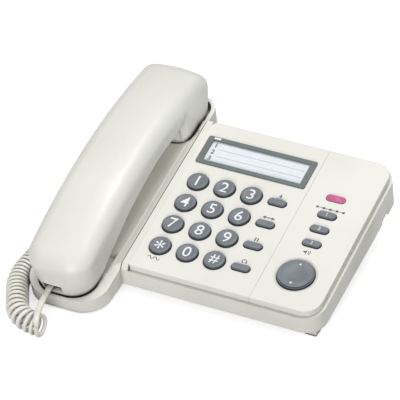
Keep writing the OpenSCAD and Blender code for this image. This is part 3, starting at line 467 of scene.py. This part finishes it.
moulded_part("lower_case", "lower_case_shell", case_plastic, 0.35 * MM)
moulded_part("desk_stand", "desk_stand_shell", case_plastic, 0.4 * MM)
foot_rubber = moulding("foot rubber", linear(118, 117, 112), linear(128, 126, 120), 0.7, 0.00004, 90, 1300)
moulded_part("rubber_feet", "rubber_feet_pads", foot_rubber, 0.3 * MM)


def plated(name, colour, roughness):
    """Plated metal with fine turning marks round it."""
    material, tree, output = shader(name)
    surface = tree.nodes.new("ShaderNodeBsdfPrincipled")
    surface.inputs["Metallic"].default_value = 1
    place = tree.nodes.new("ShaderNodeTexCoord")
    marks = tree.nodes.new("ShaderNodeTexNoise")
    marks.inputs["Scale"].default_value = 700
    marks.inputs["Detail"].default_value = 3
    wire(tree, place.outputs["Object"], marks.inputs["Vector"])
    shade = tree.nodes.new("ShaderNodeMix")
    shade.data_type = "RGBA"
    shade.inputs[6].default_value = colour
    shade.inputs[7].default_value = tuple(value * 0.8 for value in colour[:3]) + (1,)
    wire(tree, marks.outputs["Fac"], shade.inputs["Factor"])
    wire(tree, shade.outputs[2], surface.inputs["Base Color"])
    rough = tree.nodes.new("ShaderNodeMapRange")
    rough.inputs["To Min"].default_value = roughness - 0.08
    rough.inputs["To Max"].default_value = roughness + 0.12
    wire(tree, marks.outputs["Fac"], rough.inputs["Value"])
    wire(tree, rough.outputs["Result"], surface.inputs["Roughness"])
    bump = tree.nodes.new("ShaderNodeBump")
    bump.inputs["Distance"].default_value = 0.00002
    wire(tree, marks.outputs["Fac"], bump.inputs["Height"])
    wire(tree, bump.outputs["Normal"], surface.inputs["Normal"])
    wire(tree, surface.outputs[0], output.inputs["Surface"])
    return material


zinc = plated("zinc plate", linear(196, 198, 204), 0.32)
for node in ("case_screws", "board_screws", "hook_spring", "handset_screws"):
    paint_node(node, zinc)

# ----------------------------------------------------------------------------------------------------------------
# Board, ringer, jacks and mats inside the case
# The glass-fibre board hangs under the panels on its screws, with the key mats on top of it. The two jacks and the
# ringer's speaker are black or grey mouldings that stand against the walls.
# ----------------------------------------------------------------------------------------------------------------
board_coat, tree, output = shader("board lacquer")
surface = tree.nodes.new("ShaderNodeBsdfPrincipled")
surface.inputs["Roughness"].default_value = 0.35
surface.inputs["Coat Weight"].default_value = 0.5
surface.inputs["Coat Roughness"].default_value = 0.15
place = tree.nodes.new("ShaderNodeTexCoord")
tracks = tree.nodes.new("ShaderNodeTexBrick")
tracks.inputs["Scale"].default_value = 110
tracks.inputs["Mortar Size"].default_value = 0.03
tracks.inputs["Color1"].default_value = linear(28, 92, 52)
tracks.inputs["Color2"].default_value = linear(32, 102, 58)
tracks.inputs["Mortar"].default_value = linear(84, 138, 76)
wire(tree, place.outputs["Object"], tracks.inputs["Vector"])
wire(tree, tracks.outputs["Color"], surface.inputs["Base Color"])
bump = tree.nodes.new("ShaderNodeBump")
bump.inputs["Distance"].default_value = 0.00004
wire(tree, tracks.outputs["Fac"], bump.inputs["Height"])
wire(tree, bump.outputs["Normal"], surface.inputs["Normal"])
wire(tree, surface.outputs[0], output.inputs["Surface"])
paint_node("main_board", board_coat)

black_plastic = moulding("black moulding", linear(44, 44, 46), linear(56, 56, 58), 0.42, 0.00003, 120, 1600)
for node in ("board_parts", "ringer_speaker", "hook_switch", "receiver_capsule", "microphone_capsule"):
    paint_node(node, black_plastic)
capsule_foam = moulding("capsule foam", linear(48, 47, 46), linear(62, 60, 58), 0.9, 0.0002, 400, 2600)
paint_node("receiver_gasket", capsule_foam)
steel_weight = plated("weight steel", linear(150, 150, 152), 0.5)
paint_node("handset_weight", steel_weight)
mat_rubber = moulding("silicone mat", linear(206, 206, 200), linear(194, 194, 188), 0.6, 0.00003, 80, 1200)
paint_node("key_mat", mat_rubber)
paint_node("side_key_mat", mat_rubber)

jack_plastic = moulding("jack moulding", linear(56, 59, 60), linear(66, 69, 70), 0.4, 0.00002, 140, 1600)
for node, body in (("line_jack", "base"), ("base_jack", "base"), ("handset_socket", "handset")):
    moulded_part(node, node + "_housing", jack_plastic, 0.2 * MM, body=body)
plug_resin = moulding("clear plug resin", linear(222, 224, 222), linear(208, 212, 210), 0.12, 0.00001, 200, 900,
                      Transmission_Weight=0.55, IOR=1.5)
paint_node("base_plug", plug_resin)
paint_node("handset_plug", plug_resin)

# ----------------------------------------------------------------------------------------------------------------
# Upper case with the cradle, and the cradle hook
# One pale moulding: a shoulder round the two panels, and on the left the wells and the trough the handset lies in.
# The hook is a small plunger of the same plastic that the handset's ear end holds down.
# ----------------------------------------------------------------------------------------------------------------
moulded_part("upper_case", "upper_case_shell", case_plastic, 0.5 * MM, steps=3)
moulded_part("hook_plunger", "hook_plunger_cap", case_plastic, 0.5 * MM, body="hook")

# ----------------------------------------------------------------------------------------------------------------
# Dial keys
# Twelve round keys of grey plastic, each turned to a shallow dish with a rounded rim, with its figure printed in
# white. A flange under the panel keeps each key in.
# ----------------------------------------------------------------------------------------------------------------
key_plastic = moulding("key plastic", linear(120, 127, 133), linear(112, 119, 125), 0.4, 0.00001, 160, 2200)


def darken_walls(material, colour):
    """Paints a key's walls, which face along the panel, in that darker colour: painted shade, darker than the tops."""
    tree = material.node_tree
    surface = next(node for node in tree.nodes if node.type == "BSDF_PRINCIPLED")
    place = tree.nodes.new("ShaderNodeTexCoord")
    facing = tree.nodes.new("ShaderNodeVectorMath")
    facing.operation = "DOT_PRODUCT"
    facing.inputs[1].default_value = slope.to_3x3() @ Vector((0, 0, 1))
    wire(tree, place.outputs["Normal"], facing.inputs[0])
    level = tree.nodes.new("ShaderNodeMapRange")
    level.inputs["From Min"].default_value = 0.35
    level.inputs["From Max"].default_value = 0.85
    wire(tree, facing.outputs["Value"], level.inputs["Value"])
    shade = tree.nodes.new("ShaderNodeMix")
    shade.data_type = "RGBA"
    shade.inputs[6].default_value = colour
    wire(tree, level.outputs["Result"], shade.inputs["Factor"])
    wire(tree, surface.inputs["Base Color"].links[0].from_socket, shade.inputs[7])
    wire(tree, shade.outputs[2], surface.inputs["Base Color"])


# Painted shade: the keys' walls get a darker grey than their tops
darken_walls(key_plastic, linear(52, 56, 60))
white_print = moulding("white print", linear(246, 248, 250), linear(238, 241, 244), 0.45, 0.000005, 500, 3000,
                       crevices=1)

dial_key_top = 2.2
dial_dish_r = 5.2
# Radius and height of the key's outline, in millimetres, from the middle of its foot to the middle of its dish
key_outline = ((0, -3.3), (8.5, -3.3), (8.5, -2.3), (7.1, -2.3), (7.1, 0), (7.1, 1.2), (7.04, 1.52), (6.86, 1.82),
               (6.58, 2.05), (6.24, 2.17), (5.9, 2.2), (5.4, 2.2), (4.8, 2.12), (3.6, 1.98), (1.8, 1.85), (0, 1.8))


def dial_key(node, place):
    """A dial key turned from its outline, its middle at that place on the panel, in millimetres."""
    bm = bmesh.new()
    corners = [bm.verts.new((radius * MM, 0, height * MM)) for radius, height in key_outline]
    edges = [bm.edges.new(pair) for pair in zip(corners, corners[1:])]
    bmesh.ops.spin(bm, geom=corners + edges, cent=(0, 0, 0), axis=(0, 0, 1), angle=2 * math.pi, steps=56,
                   use_merge=True)
    bmesh.ops.remove_doubles(bm, verts=bm.verts, dist=0.00001)
    bmesh.ops.recalc_face_normals(bm, faces=bm.faces)
    bmesh.ops.transform(bm, matrix=slope @ Matrix.Translation(Vector((*place, 0)) * MM), verts=bm.verts)
    for edge in bm.edges:
        edge.smooth = edge.calc_face_angle(0) < math.radians(50)
    return piece_from(bm, node + "_cap", key_plastic, node, node)


print_top = 0.045
print_foot = -0.03


def figure(name, character, height, place, body, material, boldness=0.0, dish=0.0):
    """A printed figure that high, its middle at place, both in millimetres. It follows a dish of that depth."""
    words = bpy.data.curves.new(name, "FONT")
    words.body = character
    words.size = 1
    words.offset = boldness
    words.extrude = 0.001
    words.resolution_u = 6
    holder = bpy.data.objects.new(name, words)
    scene.collection.objects.link(holder)
    mesh = bpy.data.meshes.new_from_object(holder.evaluated_get(bpy.context.evaluated_depsgraph_get()))
    bpy.data.objects.remove(holder)
    bpy.data.curves.remove(words)
    low = Vector([min(v.co[i] for v in mesh.vertices) for i in range(3)])
    high = Vector([max(v.co[i] for v in mesh.vertices) for i in range(3)])
    middle = (low + high) / 2
    scale = height / (high.y - low.y)
    bm = bmesh.new()
    bm.from_mesh(mesh)
    bpy.data.meshes.remove(mesh)
    bmesh.ops.remove_doubles(bm, verts=bm.verts, dist=0.0001)
    for vertex in bm.verts:
        x = (vertex.co.x - middle.x) * scale
        y = (vertex.co.y - middle.y) * scale
        z = print_top if vertex.co.z > 0 else print_foot
        if dish:
            z -= dish * (1 - (x * x + y * y) / dial_dish_r ** 2)
        vertex.co = on_slope(place[0] + x, place[1] + y, place[2] + z)
    bmesh.ops.recalc_face_normals(bm, faces=bm.faces)
    for edge in bm.edges:
        edge.smooth = False
    return piece_from(bm, name, material, None, body)


dial = ("1", "2", "3", "4", "5", "6", "7", "8", "9", "star", "0", "hash")
column_pitch = 19.0
row_pitch = 19.6
for number, word in enumerate(dial):
    row, column = divmod(number, 3)
    place = ((column - 1) * column_pitch, (1.5 - row) * row_pitch)
    dial_key("key_" + word, place)
    character, height = {"star": ("*", 7.2), "hash": ("#", 7.4)}.get(word, (word, 8.3))
    figure("figure_" + word, character, height, (*place, dial_key_top), "key_" + word, white_print,
           boldness=0.004, dish=0.4)

# ----------------------------------------------------------------------------------------------------------------
# Function and one-touch keys
# Seven small pill-shaped keys of the same grey plastic. The three one-touch keys carry small pale numbers.
# ----------------------------------------------------------------------------------------------------------------
function_x = 37.1
one_touch_x = 71.8
one_touch_y = (29.4, 16.7, 4)
pill_key_top = 1.5
for number in range(1, 5):
    node = f"function_key_{number}"
    moulded_part(node, node + "_cap", key_plastic, 0.35 * MM, body=node, steps=3)
for number, y in enumerate(one_touch_y, 1):
    node = f"one_touch_key_{number}"
    moulded_part(node, node + "_cap", key_plastic, 0.35 * MM, body=node, steps=3)
    figure(f"one_touch_figure_{number}", str(number), 2.6, (one_touch_x, y, pill_key_top), node, white_print)

# ----------------------------------------------------------------------------------------------------------------
# Keypad panel and side panel
# Two flat panels of pale plastic with fine rounded edges lie side by side on the case, with a narrow seam between
# them. Small plain signs are printed in dark grey beside the keys.
# ----------------------------------------------------------------------------------------------------------------
panel_plastic = moulding("panel plastic", linear(239, 239, 232), linear(233, 232, 224), 0.34, 0.000010, 18, 1700,
                         crevices=0.6)
moulded_part("keypad_panel", "keypad_panel_plate", panel_plastic, 0.5 * MM, steps=3)

# The side panel is dished a little round the volume key: the rim of the key's hole is cut back to a wide ring, whose
# outer edge stays sharp and whose inner edge lies a little below the panel's face
volume_at = Vector((72.2, -23.1))
hole_rim = (12.2, 13.2)
dish_rim = (13.8, 14.8)
dish_width = 1.7
dish_depth = 0.85


def face_edges(bm, nearest, farthest):
    """The edges in the panel's face that lie between those two distances from the volume key's middle."""
    found = []
    for edge in bm.edges:
        ends = [slope.inverted() @ v.co / MM for v in edge.verts]
        if all(abs(p.z) < 0.05 and nearest < (p.xy - volume_at).length < farthest for p in ends):
            found.append(edge)
    return found


bm = flat_faced("side_panel")
bmesh.ops.bevel(bm, geom=face_edges(bm, *hole_rim), offset=dish_width * MM, offset_type="OFFSET", segments=1,
                profile=0.5, affect="EDGES")
for vertex in bm.verts:
    at = slope.inverted() @ vertex.co / MM
    if (at.xy - volume_at).length < hole_rim[1] and abs(at.z + dish_width) < 0.1:
        vertex.co = on_slope(at.x, at.y, -dish_depth)
for edge in face_edges(bm, *dish_rim):
    edge.smooth = False
moulded_part("side_panel", "side_panel_plate", panel_plastic, 0.4 * MM, steps=3, bm=bm)
dark_print = moulding("dark print", linear(92, 92, 88), linear(104, 104, 99), 0.5, 0.000005, 500, 3000, crevices=1)


def sign(name, place, shapes, material, body="base", z=0.0):
    """A printed sign at that place on the slope: flat shapes, each a list of corners in millimetres."""
    bm = bmesh.new()
    for number, shape in enumerate(shapes):
        # a hair's difference in height keeps the tops of crossing shapes apart
        height = 0.05 + 0.003 * (number % 9)
        face = bm.faces.new([bm.verts.new((x, y, -0.02)) for x, y in shape])
        grown = bmesh.ops.extrude_face_region(bm, geom=[face])["geom"]
        top = [part for part in grown if isinstance(part, bmesh.types.BMVert)]
        bmesh.ops.translate(bm, vec=(0, 0, height), verts=top)
    bmesh.ops.recalc_face_normals(bm, faces=bm.faces)
    bmesh.ops.scale(bm, vec=(MM, MM, MM), verts=bm.verts)
    bmesh.ops.transform(bm, matrix=slope @ Matrix.Translation(Vector((*place, z)) * MM), verts=bm.verts)
    for edge in bm.edges:
        edge.smooth = False
    return piece_from(bm, name, material, None, body)


def bar(x0, y0, x1, y1):
    """An upright rectangle between two corners."""
    return [(x0, y0), (x1, y0), (x1, y1), (x0, y1)]


def disc(x, y, r):
    """A round dot."""
    return [(x + r * math.cos(math.radians(a)), y + r * math.sin(math.radians(a))) for a in range(0, 360, 15)]


def arc(x, y, r, start, end, width, steps=14):
    """A curved stroke from one angle to another, in degrees."""
    way = [math.radians(start + (end - start) * step / steps) for step in range(steps + 1)]
    return ([(x + (r + width / 2) * math.cos(a), y + (r + width / 2) * math.sin(a)) for a in way]
            + [(x + (r - width / 2) * math.cos(a), y + (r - width / 2) * math.sin(a)) for a in reversed(way)])


above_key = 5.9
sign("store_sign", (function_x, 1.5 * row_pitch + above_key),
     [[(-1.5, 0.3), (0, -1.1), (1.5, 0.3)], bar(-0.45, 0.3, 0.45, 1.7), bar(-2.3, -2, 2.3, -1.45)], dark_print)
sign("catch_sign", (function_x, 0.5 * row_pitch + above_key),
     [[(-4.2, 0), (-2.2, -1.3), (-2.2, 1.3)], bar(-2.2, -0.35, 2.2, 0.35), [(4.2, 0), (2.2, 1.3), (2.2, -1.3)]],
     dark_print)
sign("pause_sign", (function_x, -0.5 * row_pitch + above_key),
     [bar(-1.3, -1.5, -0.45, 1.5), bar(0.45, -1.5, 1.3, 1.5)], dark_print)
sign("redial_sign", (function_x, -1.5 * row_pitch + above_key),
     [arc(0, 0, 1.5, -10, 270, 0.55), [(0.5, -0.4), (2.5, -0.4), (1.5, -1.7)]], dark_print)
sign("tone_sign", (-column_pitch, -1.5 * row_pitch - 10.2),
     [arc(-3, 0, 1, 180, 0, 0.55), arc(-1, 0, 1, -180, 0, 0.55), arc(1, 0, 1, 180, 0, 0.55),
      arc(3, 0, 1, -180, 0, 0.55)], dark_print)
sign("one_touch_sign", (one_touch_x, one_touch_y[0] + 5.7),
     [disc(x, 0, 0.95) for x in (-9, -4.5, 0, 4.5, 9)]
     + [bar(x - 1.7, -0.2, x + 1.7, 0.2) for x in (-6.75, -2.25, 2.25, 6.75)], dark_print)
sign("volume_sign", (71.7, -3.4),
     [bar(-2.6, -0.6, -1.6, 0.6), [(-1.6, -0.6), (-0.3, -1.6), (-0.3, 1.6), (-1.6, 0.6)],
      arc(-0.4, 0, 1.4, -45, 45, 0.45), arc(-0.4, 0, 2.5, -45, 45, 0.45)], dark_print)

# ----------------------------------------------------------------------------------------------------------------
# Memo card, its clear cover and frame
# A white card with three numbered rows lies in a shallow recess of the keypad panel, under a clear sheet that a
# dark grey frame holds down.
# ----------------------------------------------------------------------------------------------------------------
frame_plastic = moulding("frame plastic", linear(112, 120, 119), linear(104, 112, 112), 0.4, 0.00002, 90, 1800)
moulded_part("card_frame", "card_frame_ring", frame_plastic, 0.15 * MM)
card_paper = moulding("card paper", linear(244, 247, 252), linear(238, 242, 248), 0.7, 0.00001, 300, 2400, crevices=1)
paint_node("memo_card", card_paper)
cover_film = moulding("cover film", linear(244, 248, 250), linear(238, 244, 248), 0.06, 0.000002, 60, 400,
                      crevices=1, Alpha=0.1)
paint_node("card_cover", cover_film)
grey_print = moulding("grey print", linear(150, 157, 163), linear(140, 147, 153), 0.45, 0.000005, 500, 3000,
                      crevices=1)
card_middle = 58.3
card_print_z = -0.64
for number, y in enumerate((6.1, 0.3, -5.5), 1):
    figure(f"card_figure_{number}", str(number), 4, (-21.6, card_middle + y, card_print_z), "base", dark_print,
           boldness=0.03)
dash_pitch = 1.7
sign("card_lines", (0, card_middle),
     [bar(-18.2 + dash_pitch * step, y - 0.26, -17.2 + dash_pitch * step, y + 0.26)
      for y in (3.1, -2.9) for step in range(36)], grey_print, z=card_print_z)
sign("card_slot_mark", (-22.4, card_middle + 10.9), [bar(-2.3, -0.8, 2.3, 0.8)], white_print, z=0.8)

# ----------------------------------------------------------------------------------------------------------------
# Volume key and message lamp
# The round volume key rocks on two side pivots and has a small triangle at each end of its travel. The lamp is a
# pill-shaped lens of translucent pink plastic over a small light.
# ----------------------------------------------------------------------------------------------------------------
moulded_part("volume_key", "volume_key_cap", key_plastic, 0.35 * MM, body="volume_rocker",
             steps=3)
volume_key_top = 1.18
arrow_reach = 8.2
for number, side in enumerate((1, -1), 1):
    sign(f"volume_arrow_{number}", (volume_at[0], volume_at[1] + side * arrow_reach),
         [[(-0.95, -0.75 * side), (0.95, -0.75 * side), (0, 0.9 * side)]], white_print, body="volume_rocker",
         z=volume_key_top)
lamp_plastic = moulding("lamp lens", linear(218, 98, 152), linear(226, 118, 166), 0.22, 0.00001, 160, 1500,
                        Transmission_Weight=0.15, Coat_Weight=0.4)
moulded_part("lamp_lens", "lamp_lens_cap", lamp_plastic, 0.3 * MM, steps=3)
led_resin = moulding("light resin", linear(240, 170, 190), linear(232, 150, 176), 0.12, 0.000005, 300, 1200)
paint_node("lamp_led", led_resin)

# ----------------------------------------------------------------------------------------------------------------
# Handset
# Two pale mouldings meet at a fine seam along the lower edge: a deep arched back, and an inner cover with holes
# over the earpiece and the microphone. Hands keep it a little glossier than the case.
# ----------------------------------------------------------------------------------------------------------------
handset_plastic = moulding("handset plastic", linear(238, 238, 231), linear(231, 231, 223), 0.33, 0.000010, 14, 1500)


handset_x = -65
mouth_cup_y = -68
ear_cup_y = 84
cup_foot = -8


def roll_foot(bm, top=-3.3, deep=2.2):
    """Rolls the outer foot of both cups in, from that height down, as far as the wall is thick."""
    turn = slope.to_3x3()
    for step in range(5):
        bmesh.ops.bisect_plane(bm, geom=[*bm.verts, *bm.edges, *bm.faces], dist=0.000001,
                               plane_co=on_slope(0, 0, top - 0.85 * step), plane_no=turn @ Vector((0, 0, 1)))
    bm.normal_update()
    moves = []
    for vertex in bm.verts:
        at = slope.inverted() @ vertex.co / MM
        fall = (top - at.z) / (top - cup_foot)
        outward = turn.transposed() @ vertex.normal
        outward.z = 0
        middle = Vector((handset_x, mouth_cup_y if at.y < 0 else ear_cup_y, at.z))
        if fall > 0.01 and outward.length > 0.3 and outward.dot(at - middle) > 0:
            roll = 1 - math.sqrt(max(1 - fall * fall, 0))
            moves.append((vertex, turn @ outward.normalized() * roll * -deep * MM))
    for vertex, move in moves:
        vertex.co += move


def smooth_shell(node, name, levels, corner=50):
    """A part of flowing shape, refined between its sharp edges."""
    bm = merged_copy(node)
    bmesh.ops.join_triangles(bm, faces=bm.faces, angle_face_threshold=math.radians(25),
                             angle_shape_threshold=math.radians(50))
    if node == "handset_back":
        roll_foot(bm)
    crease = bm.edges.layers.float.new("crease_edge")
    for edge in bm.edges:
        hard = edge.calc_face_angle(math.pi) > math.radians(corner)
        edge[crease] = 1.0 if hard else 0.0
        edge.smooth = not hard
    piece = piece_from(bm, name, handset_plastic, node, "handset")
    refined = piece.modifiers.new("refined", "SUBSURF")
    refined.levels = refined.render_levels = levels
    return piece


smooth_shell("handset_back", "handset_back_shell", 2)
smooth_shell("handset_front", "handset_front_cover", 1)
